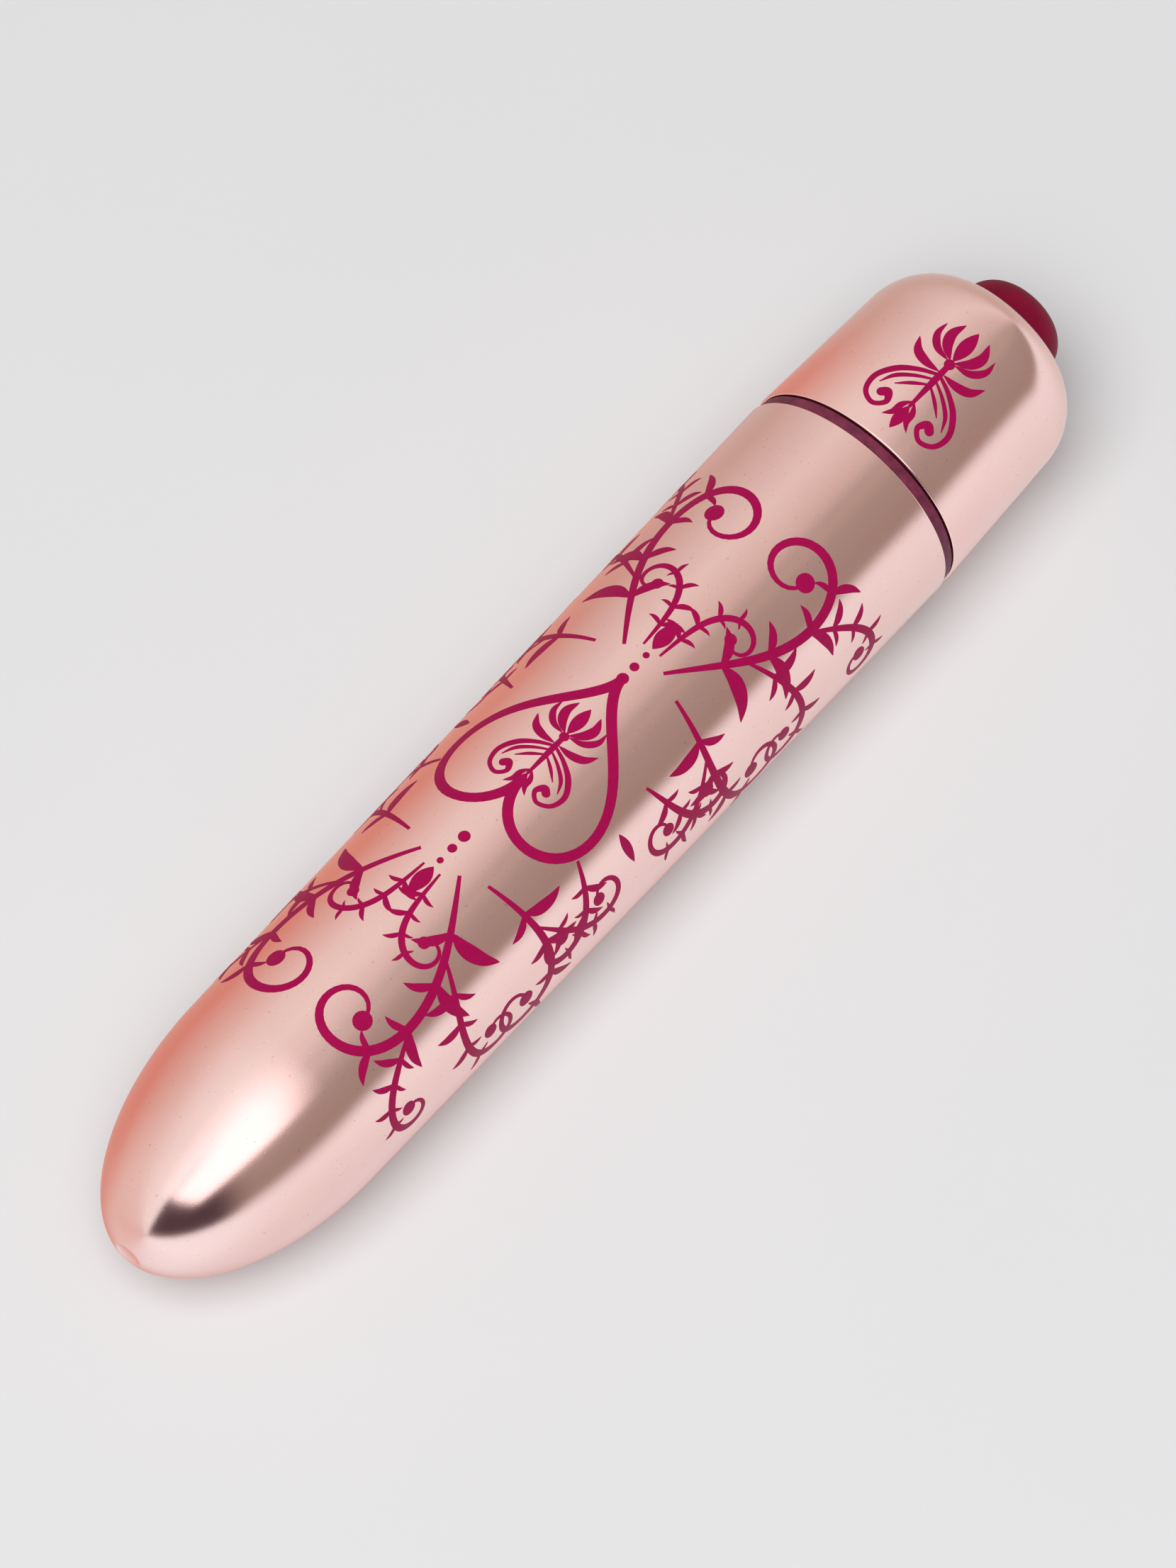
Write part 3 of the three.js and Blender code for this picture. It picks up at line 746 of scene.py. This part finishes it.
def print_film(name, shapes, radius_at):
    """The union of flat shapes of (station, arc) points, wrapped on the shell as a thin closed film."""
    points, edges, faces = [], [], []
    for shape in shapes:
        for k in range(1, len(shape) - 1):
            corners = [shape[0], shape[k], shape[k + 1]]
            (ax, ay), (bx, by), (cx, cy) = corners
            area = (bx - ax) * (cy - ay) - (cx - ax) * (by - ay)
            if abs(area) < SMALLEST:
                continue
            start = len(points)
            points += [Vector(corner) for corner in corners]
            faces.append([start, start + 1, start + 2] if area > 0 else [start, start + 2, start + 1])
    stations = [x for x, y in points]
    arcs = [y for x, y in points]
    first, last = min(stations) - 1, max(stations) + 1
    line = math.ceil(min(arcs) / PRINT_STEP) * PRINT_STEP
    while line < max(arcs):
        start = len(points)
        points += [Vector((first, line)), Vector((last, line))]
        edges.append((start, start + 1))
        line += PRINT_STEP
    flat, _, triangles, _, _, owners = delaunay_2d_cdt(points, edges, faces, 0, SMALLEST)
    kept = [triangle for triangle, owner in zip(triangles, owners) if owner]
    used = sorted({corner for triangle in kept for corner in triangle})
    index = {corner: place for place, corner in enumerate(used)}
    count = len(used)

    def wrap(point, lift):
        radius = radius_at(point[0]) + lift
        angle = point[1] / PRINT_RADIUS
        return to_world((point[0], -radius * math.sin(angle), radius * math.cos(angle)))

    vertices = [wrap(flat[corner], PRINT_TOP) for corner in used]
    vertices += [wrap(flat[corner], -PRINT_DEPTH) for corner in used]
    made_faces = []
    sides = {}
    for triangle in kept:
        a, b, c = (index[corner] for corner in triangle)
        made_faces += [(a, b, c), (a + count, c + count, b + count)]
        for edge in ((a, b), (b, c), (c, a)):
            sides[edge] = sides.get(edge, 0) + 1
    for (a, b) in sides:
        if (b, a) not in sides:
            made_faces.append((b, a, a + count, b + count))
    made = link_mesh(name, vertices, made_faces, 30)
    outward(made)
    return made


# ---------- materials ----------
NONE = (0.0, 0.0, 0.0)
FULL = (1.0, 1.0, 1.0)
WAVE_BANDS = 10 / math.pi    # bands per unit of length at scale 1 of Blender's wave texture


def rose_gold():
    """Vacuum-metallised plastic under a satin lacquer, with fine grain and tiny specks."""
    made, tree, shader = new_material("rose_gold")
    shader.inputs["Metallic"].default_value = 1.0
    shader.inputs["Coat Weight"].default_value = 0.25
    shader.inputs["Coat Roughness"].default_value = 0.35
    cloud_colors = [(0.3, (0.90, 0.565, 0.50)), (0.7, (0.93, 0.60, 0.53))]
    cloud = ramp(tree, noise_texture(tree, 90, 4), cloud_colors)
    pale = ramp(tree, noise_texture(tree, 4200, 1), [(0.71, NONE), (0.76, FULL)])
    dark = ramp(tree, noise_texture(tree, 2900, 1), [(0.73, NONE), (0.77, FULL)])
    speckled = mix_colors(tree, remap(tree, pale, 0, 0.35), cloud, (0.97, 0.80, 0.76))
    speckled = mix_colors(tree, remap(tree, dark, 0, 0.30), speckled, (0.45, 0.22, 0.18))
    tree.links.new(speckled, shader.inputs["Base Color"])
    grain = noise_texture(tree, 9000, 2)
    rough = remap(tree, mix_colors(tree, pale, grain, FULL), 0.13, 0.21)
    tree.links.new(rough, shader.inputs["Roughness"])
    bump(tree, shader, grain, 0.0022 * MM)
    return made


ROSE_GOLD = rose_gold()
CRIMSON = mottled("crimson_soft", (0.215, 0.0035, 0.027), 0.12, 400, 0.55, bump_mm=0.01, bump_scale=6000,
                  Specular_IOR_Level=0.12)
BURGUNDY = mottled("burgundy_rubber", (0.15, 0.020, 0.048), 0.35, 900, 0.5, bump_mm=0.02,
                   bump_scale=3000, Specular_IOR_Level=0.25)
PRINT = mottled("print_ink", (0.345, 0.002, 0.066), 0.05, 1200, 0.45, bump_mm=0.004, bump_scale=9000,
                Specular_IOR_Level=0.12)


def streaked(name, base, roughness, along, around, metallic=1.0, bump_mm=0.004, spread=0.08):
    """Metal with fine marks: along and around count them per metre down and across the axis."""
    made, tree, shader = new_material(name)
    shader.inputs["Metallic"].default_value = metallic
    place = add_node(tree, "ShaderNodeTexCoord")
    mapping = add_node(tree, "ShaderNodeMapping")
    mapping.inputs["Scale"].default_value = (along, around, around)
    texture = add_node(tree, "ShaderNodeTexNoise")
    texture.inputs["Scale"].default_value = 1.0
    texture.inputs["Detail"].default_value = 4.0
    tree.links.new(place.outputs["Object"], mapping.inputs["Vector"])
    tree.links.new(mapping.outputs["Vector"], texture.inputs["Vector"])
    darker = tuple(channel * (1 - spread) for channel in base)
    lighter = tuple(min(1, channel * (1 + spread)) for channel in base)
    color = ramp(tree, texture.outputs["Fac"], [(0.35, darker), (0.65, lighter)])
    tree.links.new(color, shader.inputs["Base Color"])
    rough = remap(tree, texture.outputs["Fac"], roughness - 0.07, roughness + 0.07)
    tree.links.new(rough, shader.inputs["Roughness"])
    bump(tree, shader, texture.outputs["Fac"], bump_mm * MM)
    return made


def banded(tree, direction, scale):
    """Even bands in object space. scale is in bands per metre."""
    place = add_node(tree, "ShaderNodeTexCoord")
    wave = add_node(tree, "ShaderNodeTexWave", bands_direction=direction, wave_profile="SIN")
    wave.inputs["Scale"].default_value = scale / WAVE_BANDS
    wave.inputs["Distortion"].default_value = 0.0
    tree.links.new(place.outputs["Object"], wave.inputs["Vector"])
    return wave.outputs["Fac"]


def copper_wire():
    """Enamelled magnet wire, wound tightly, with painted shade darkening the grooves between turns."""
    made, tree, shader = new_material("copper_wire")
    shader.inputs["Metallic"].default_value = 0.9
    shader.inputs["Coat Weight"].default_value = 0.6
    shader.inputs["Coat Roughness"].default_value = 0.15
    wires = banded(tree, "X", 5500)
    # painted shade: the colour falls to dark brown in the grooves between turns, where the bump sinks
    tree.links.new(ramp(tree, wires, [(0.0, (0.16, 0.035, 0.01)), (0.6, (0.62, 0.22, 0.08))]),
                   shader.inputs["Base Color"])
    tree.links.new(remap(tree, noise_texture(tree, 3000), 0.25, 0.4), shader.inputs["Roughness"])
    bump(tree, shader, wires, 0.05 * MM)
    return made


def cell_label():
    """A plain printed film: teal with a copper band and two fine lines near the flat end."""
    made, tree, shader = new_material("cell_label")
    shader.inputs["Roughness"].default_value = 0.28
    shader.inputs["Coat Weight"].default_value = 0.5
    start, end, _ = span("cell_jacket")
    place = add_node(tree, "ShaderNodeTexCoord")
    split = add_node(tree, "ShaderNodeSeparateXYZ")
    along = add_node(tree, "ShaderNodeMapRange")
    along.inputs["From Min"].default_value = (start + SEAM_X) * MM
    along.inputs["From Max"].default_value = (end + SEAM_X) * MM
    tree.links.new(place.outputs["Object"], split.inputs["Vector"])
    tree.links.new(split.outputs["X"], along.inputs["Value"])
    teal, deep = (0.03, 0.20, 0.15), (0.012, 0.07, 0.06)
    copper, pale = (0.55, 0.25, 0.12), (0.75, 0.76, 0.72)
    color = ramp(tree, along.outputs["Result"], [
        (0.0, copper), (0.12, pale), (0.13, deep), (0.30, teal), (0.86, deep), (0.87, copper),
    ])
    color.node.color_ramp.interpolation = "CONSTANT"
    dots = noise_texture(tree, 5000)
    speckled = mix_colors(tree, dots, color, (0.02, 0.10, 0.08))
    tree.links.new(mix_colors(tree, remap(tree, dots, 0, 0.25), color, speckled), shader.inputs["Base Color"])
    bump(tree, shader, noise_texture(tree, 600), 0.01 * MM)
    return made


def circuit_green():
    """Solder mask over copper tracks."""
    made, tree, shader = new_material("circuit_board")
    shader.inputs["Coat Weight"].default_value = 0.4
    shader.inputs["Coat Roughness"].default_value = 0.2
    upright = ramp(tree, banded(tree, "Z", 700), [(0.55, NONE), (0.62, FULL)])
    level = ramp(tree, banded(tree, "Y", 520), [(0.68, NONE), (0.75, FULL)])
    regions = ramp(tree, noise_texture(tree, 260, 0), [(0.49, NONE), (0.5, FULL)])
    tracks = mix_colors(tree, regions, upright, level)
    color = mix_colors(tree, tracks, (0.008, 0.085, 0.03), (0.03, 0.19, 0.06))
    tree.links.new(color, shader.inputs["Base Color"])
    tree.links.new(remap(tree, noise_texture(tree, 2500), 0.28, 0.4), shader.inputs["Roughness"])
    bump(tree, shader, tracks, 0.03 * MM)
    return made


def ceramic_chip():
    """Pale ceramic between tinned ends."""
    made, tree, shader = new_material("ceramic_chip")
    place = add_node(tree, "ShaderNodeTexCoord")
    split = add_node(tree, "ShaderNodeSeparateXYZ")
    tree.links.new(place.outputs["Generated"], split.inputs["Vector"])
    tin = ramp(tree, split.outputs["Y"], [(0.0, FULL), (0.22, NONE), (0.78, FULL)])
    tin.node.color_ramp.interpolation = "CONSTANT"
    tree.links.new(tin, shader.inputs["Metallic"])
    body = ramp(tree, noise_texture(tree, 4000), [(0.3, (0.30, 0.19, 0.10)), (0.7, (0.42, 0.28, 0.16))])
    tree.links.new(mix_colors(tree, tin, body, (0.68, 0.68, 0.66)), shader.inputs["Base Color"])
    tree.links.new(remap(tree, noise_texture(tree, 2000), 0.35, 0.5), shader.inputs["Roughness"])
    return made


def plastics():
    plain = {
        "black_plastic": ((0.02, 0.02, 0.022), 0.15, 500, 0.42, 0.008, 7000),
        "chip_black": ((0.016, 0.016, 0.017), 0.2, 2500, 0.6, 0.006, 12000),
        "grey_rubber": ((0.09, 0.09, 0.10), 0.2, 700, 0.7, 0.02, 3500),
        "red_insulation": ((0.45, 0.02, 0.03), 0.08, 1500, 0.35, 0.006, 6000),
        "black_insulation": ((0.02, 0.02, 0.02), 0.1, 1500, 0.35, 0.006, 6000),
    }
    made = {}
    for name, (base, spread, scale, roughness, bump_mm, bump_scale) in plain.items():
        made[name] = mottled(
            name, base, spread, scale, roughness, bump_mm=bump_mm, bump_scale=bump_scale)
    made["white_plastic"] = mottled(
        "white_plastic", (0.78, 0.76, 0.70), 0.03, 200, 0.4, bump_mm=0.006, bump_scale=6000,
        Subsurface_Weight=0.1, Subsurface_Scale=0.001)
    return made


def metals():
    return {
        "brass_contact": streaked("brass_contact", (0.68, 0.47, 0.16), 0.28, 9000, 900),
        "bright_steel": streaked("bright_steel", (0.56, 0.57, 0.58), 0.26, 14000, 700),
        "bronze_bush": mottled(
            "bronze_bush", (0.36, 0.20, 0.08), 0.25, 5000, 0.42, metallic=1.0, bump_mm=0.02,
            bump_scale=9000),
        "tungsten_weight": mottled(
            "tungsten_weight", (0.27, 0.27, 0.29), 0.15, 2500, 0.42, metallic=1.0, bump_mm=0.015,
            bump_scale=8000),
        "ferrite": mottled(
            "ferrite", (0.045, 0.045, 0.048), 0.2, 3000, 0.7, metallic=0.2, bump_mm=0.015,
            bump_scale=9000),
        "carbon_brush": mottled(
            "carbon_brush", (0.03, 0.03, 0.031), 0.3, 4000, 0.55, metallic=0.3, bump_mm=0.01),
        "copper_wire": copper_wire(),
    }


def finishes():
    """A material for each slot of the record."""
    return {
        "rose_gold_shell": ROSE_GOLD,
        "crimson_button": CRIMSON,
        "burgundy_rubber": BURGUNDY,
        "cell_label": cell_label(),
        "circuit_board": circuit_green(),
        "ceramic_chip": ceramic_chip(),
        **plastics(),
        **metals(),
    }


# ---------- world, floor and lights ----------
FLOOR_GREY = (0.735, 0.732, 0.738)
FLOOR_GAP = 0.00002          # metres, so that the sheet and the body don't coincide
DIFFUSE_LIGHT = 0.27         # of the studio's walls on everything but mirrors
LIGHT_HEIGHT = 2.0           # of the softbox over the floor, metres
SOFTBOX_CENTRE = (-0.62, -0.27)   # x and y over height
SOFTBOX_HALF = (0.72, 0.54)       # half-width over height
SOFTBOX_WATTS = 31.3
FILL_CENTRE = (-0.48, -0.14)
FILL_HALF = (0.42, 0.42)
FILL_WATTS = 28.6


def make_floor():
    """A pale sheet that just touches the tapered body along its underside."""
    tilt = math.atan((RIM_RADIUS - SHOULDER_RADIUS) / -SHOULDER)
    size = 3.0
    corners = [(-size, -size), (size, -size), (size, size), (-size, size)]
    slope = math.tan(tilt)
    made = link_mesh("floor", [(x, y, (SEAM_X * MM - x) * slope) for x, y in corners], [(0, 1, 2, 3)])
    made.location.z = -FLOOR_GAP
    paper = mottled("floor_paper", FLOOR_GREY, 0.004, 30, 0.9, Specular_IOR_Level=0.0)
    made.data.materials.append(paper)
    made.visible_glossy = False
    return made


def softbox_seen(tree, ray):
    """The softbox in mirrors: crisp on its near side and low end, fading on the others.

    Its edges are over height.
    """
    across, along = [add_node(tree, "ShaderNodeMath", operation="DIVIDE") for _ in range(2)]
    tree.links.new(ray["Y"], across.inputs[0])
    tree.links.new(ray["Z"], across.inputs[1])
    tree.links.new(ray["X"], along.inputs[0])
    tree.links.new(ray["Z"], along.inputs[1])
    across, along = across.outputs["Value"], along.outputs["Value"]
    wide = times(tree, step_between(tree, across, -1.08, -0.84), step_between(tree, across, 0.38, -0.35))
    long = times(tree, step_between(tree, along, -1.30, -1.08), step_between(tree, along, 0.42, -0.10))
    return times(tree, times(tree, wide, long), step_between(tree, ray["Z"], 0.05, 0.15))


def world_light():
    """A studio round the object: tent wall on the +Y side, paper below, a dim room over the -Y side."""
    world = bpy.data.worlds.new("studio")
    world.use_nodes = True
    bpy.context.scene.world = world
    tree = world.node_tree
    tree.nodes.clear()
    output = add_node(tree, "ShaderNodeOutputWorld")
    place = add_node(tree, "ShaderNodeTexCoord")
    split = add_node(tree, "ShaderNodeSeparateXYZ")
    tree.links.new(place.outputs["Generated"], split.inputs["Vector"])
    angle = add_node(tree, "ShaderNodeMath", operation="ARCTAN2")
    tree.links.new(split.outputs["Z"], angle.inputs[0])
    tree.links.new(split.outputs["Y"], angle.inputs[1])
    turn = add_node(tree, "ShaderNodeMapRange")
    turn.inputs["From Min"].default_value = -math.pi
    turn.inputs["From Max"].default_value = math.pi
    tree.links.new(angle.outputs["Value"], turn.inputs["Value"])

    def at(degrees):
        return (degrees + 180) / 360

    room = [
        (at(97), (0.70, 0.66, 0.645)), (at(110), (0.46, 0.445, 0.43)), (at(116), (0.53, 0.48, 0.43)),
        (at(124), (0.43, 0.405, 0.39)), (at(165), (0.37, 0.325, 0.30)), (at(176), (0.94, 1.04, 1.12)),
    ]
    along = ramp(tree, turn.outputs["Result"], [
        (at(-180), (1.0, 1.12, 1.22)), (at(-150), (0.92, 0.98, 1.05)), (at(-110), (0.84, 0.86, 0.92)),
        (at(-70), (0.74, 0.40, 0.34)), (at(-15), (0.74, 0.36, 0.30)), (at(15), (0.78, 0.58, 0.55)),
        (at(50), (0.88, 0.88, 0.89)), (at(75), (0.90, 0.95, 0.96)),
    ] + room)
    cap_end = ramp(tree, turn.outputs["Result"], [
        (at(-180), (0.97, 1.07, 1.17)), (at(-150), (0.91, 1.0, 1.08)), (at(-110), (0.82, 0.82, 0.84)),
        (at(-60), (0.64, 0.57, 0.55)), (at(-10), (0.63, 0.56, 0.52)), (at(25), (0.74, 0.72, 0.72)),
        (at(60), (0.86, 0.88, 0.89)),
    ] + room)
    nose_end = ramp(tree, turn.outputs["Result"], [
        (at(-180), (1.04, 1.24, 1.38)), (at(-150), (1.04, 1.22, 1.33)), (at(-94), (0.94, 1.04, 1.16)),
        (at(-54), (0.85, 0.76, 0.76)), (at(-20), (0.82, 0.70, 0.69)), (at(20), (0.84, 0.77, 0.77)),
        (at(60), (0.88, 0.90, 0.92)),
    ] + room)
    past_body = step_between(tree, split.outputs["X"], 0.385, 0.45)
    past_nose = step_between(tree, split.outputs["X"], 0.05, -0.70)
    band = mix_colors(tree, past_body, mix_colors(tree, past_nose, along, nose_end), cap_end)
    glow_start = step_between(tree, turn.outputs["Result"], at(30), at(85))
    glow_end = step_between(tree, turn.outputs["Result"], at(132), at(112))
    glow_reach = step_between(tree, split.outputs["X"], 0.36, -0.05)
    glow = times(tree, times(tree, glow_start, glow_end), glow_reach)
    band = mix_colors(tree, glow, band, (1.02, 1.16, 1.24))
    over_floor = step_between(tree, split.outputs["Z"], 0.03, 0.15)
    near_side = step_between(tree, split.outputs["Y"], 0.0, -0.06)
    far_end = step_between(tree, split.outputs["X"], -0.25, -0.55)
    gap = times(tree, times(tree, over_floor, near_side), far_end)
    band = mix_colors(tree, gap, band, (0.075, 0.045, 0.06))
    band = mix_colors(tree, softbox_seen(tree, split.outputs), band, (1.7, 1.75, 1.9))
    glossy = add_node(tree, "ShaderNodeBackground")
    tree.links.new(band, glossy.inputs["Color"])
    plain = add_node(tree, "ShaderNodeBackground")
    plain.inputs["Color"].default_value = (1, 0.99, 0.995, 1)
    plain.inputs["Strength"].default_value = DIFFUSE_LIGHT
    path = add_node(tree, "ShaderNodeLightPath")
    mix = add_node(tree, "ShaderNodeMixShader")
    tree.links.new(path.outputs["Is Glossy Ray"], mix.inputs["Fac"])
    tree.links.new(plain.outputs["Background"], mix.inputs[1])
    tree.links.new(glossy.outputs["Background"], mix.inputs[2])
    tree.links.new(mix.outputs["Shader"], output.inputs["Surface"])


def overhead_light(name, centre, half, power):
    """A level oval light that faces down, left out of mirrors. centre and half are in heights."""
    data = bpy.data.lights.new(name, "AREA")
    data.shape = "ELLIPSE"
    data.size = 2 * half[0] * LIGHT_HEIGHT
    data.size_y = 2 * half[1] * LIGHT_HEIGHT
    data.energy = power
    made = bpy.data.objects.new(name, data)
    made.location = (centre[0] * LIGHT_HEIGHT, centre[1] * LIGHT_HEIGHT, LIGHT_HEIGHT)
    made.visible_glossy = False
    bpy.context.collection.objects.link(made)
    return made


make_camera()
make_floor()
world_light()
overhead_light("softbox", SOFTBOX_CENTRE, SOFTBOX_HALF, SOFTBOX_WATTS)
overhead_light("fill", FILL_CENTRE, FILL_HALF, FILL_WATTS)

SLOTS = finishes()
for row in frame["record"]["subparts"]:
    materials = frame["nodes"][row["node"]].data.materials
    materials.clear()
    materials.append(SLOTS[row["material_slot"]])

finish_piece(body_skin(), "body", ROSE_GOLD, ["body_shell"])
finish_piece(cap_skin(), "cap", ROSE_GOLD, ["cap_shell"])
finish_piece(button_skin(), "button", CRIMSON, ["push_button"])
finish_piece(ring_skin(), "body", BURGUNDY, ["seal_ring"])
for skin, body, slot, node in (
    (collar_skin, "body", "black_plastic", "thread_collar"),
    (battery_tube_skin, "body", "white_plastic", "battery_tube"),
    (return_contact_skin, "body", "brass_contact", "return_contact"),
    (liner_skin, "cap", "black_plastic", "cap_liner"),
    (spring_skin, "cap", "bright_steel", "cap_spring"),
    (cell_skin, "battery", "bright_steel", "cell_can"),
    (jacket_skin, "battery", "cell_label", "cell_jacket"),
    (nub_skin, "battery", "bright_steel", "cell_positive_nub"),
):
    finish_piece(skin(), body, SLOTS[slot], [node])


def body_radius(station):
    return RIM_RADIUS + (RIM_RADIUS - SHOULDER_RADIUS) / -SHOULDER * station


def cap_radius(station):
    slope = (CAP_RIM_RADIUS - CAP_SHOULDER_RADIUS) / (CAP_SHOULDER - CAP_RIM)
    return CAP_RIM_RADIUS - slope * (station - CAP_RIM)


finish_piece(print_film("print_body", body_ornament(), body_radius), "body", PRINT)
finish_piece(print_film("print_cap", cap_ornament(), cap_radius), "cap", PRINT)

bpy.context.scene.view_settings.view_transform = "Standard"
